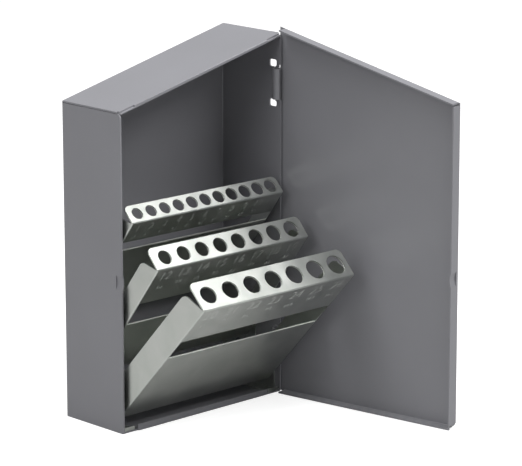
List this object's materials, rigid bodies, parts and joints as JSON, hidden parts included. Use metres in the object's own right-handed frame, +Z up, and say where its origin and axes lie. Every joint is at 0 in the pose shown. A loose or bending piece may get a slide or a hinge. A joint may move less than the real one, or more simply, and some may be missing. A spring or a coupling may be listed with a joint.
{
  "type": "drill bit case",
  "caption": "Sheet metal drill bit case with a sloping top, a hook-hinged lid and tilting drill racks that fold out of the front.",
  "frame": {"origin": "middle of the case's underside", "axes": "+Z up, -Y out of the open front, +X towards the hinge side"},
  "size_m": [0.13, 0.1546, 0.1962],
  "materials": {
    "case_paint": "satin",
    "zinc_plate": "satin"
  },
  "bodies": {
    "case": {"case_shell": "case_paint", "left_bracket": "zinc_plate", "right_bracket": "zinc_plate", "bracket_rivets": "case_paint", "front_pivot_rivets": "zinc_plate", "middle_pivot_rivets": "zinc_plate", "back_pivot_rivets": "zinc_plate"},
    "lid_body": {"lid": "case_paint"},
    "front_rack_body": {"front_rack": "zinc_plate", "front_tray": "zinc_plate"},
    "middle_rack_body": {"middle_rack": "zinc_plate", "middle_tray": "zinc_plate"},
    "back_rack_body": {"back_rack": "zinc_plate", "back_tray": "zinc_plate"}
  },
  "joints": [
    {"name": "lid_hinge", "type": "hinge", "parent": "case", "child": "lid_body", "pos_m": [0.0543, -0.0207, 0.097], "axis": [0, 0, 1], "range_deg": [-9, 21]},
    {"name": "front_rack_tilt", "type": "hinge", "parent": "case", "child": "front_rack_body", "pos_m": [0, -0.017, 0.0114], "axis": [-1, 0, 0], "range_deg": [0, 43]},
    {"name": "middle_rack_tilt", "type": "hinge", "parent": "case", "child": "middle_rack_body", "pos_m": [0, -0.0001, 0.0324], "axis": [-1, 0, 0], "range_deg": [0, 37.01]},
    {"name": "back_rack_tilt", "type": "hinge", "parent": "case", "child": "back_rack_body", "pos_m": [0, 0.0128, 0.0607], "axis": [-1, 0, 0], "range_deg": [0, 37.01]}
  ],
  "couplings": [
    {"joint": "middle_rack_tilt", "follows": "front_rack_tilt", "ratio": 0.86047},
    {"joint": "back_rack_tilt", "follows": "front_rack_tilt", "ratio": 0.86047}
  ]
}
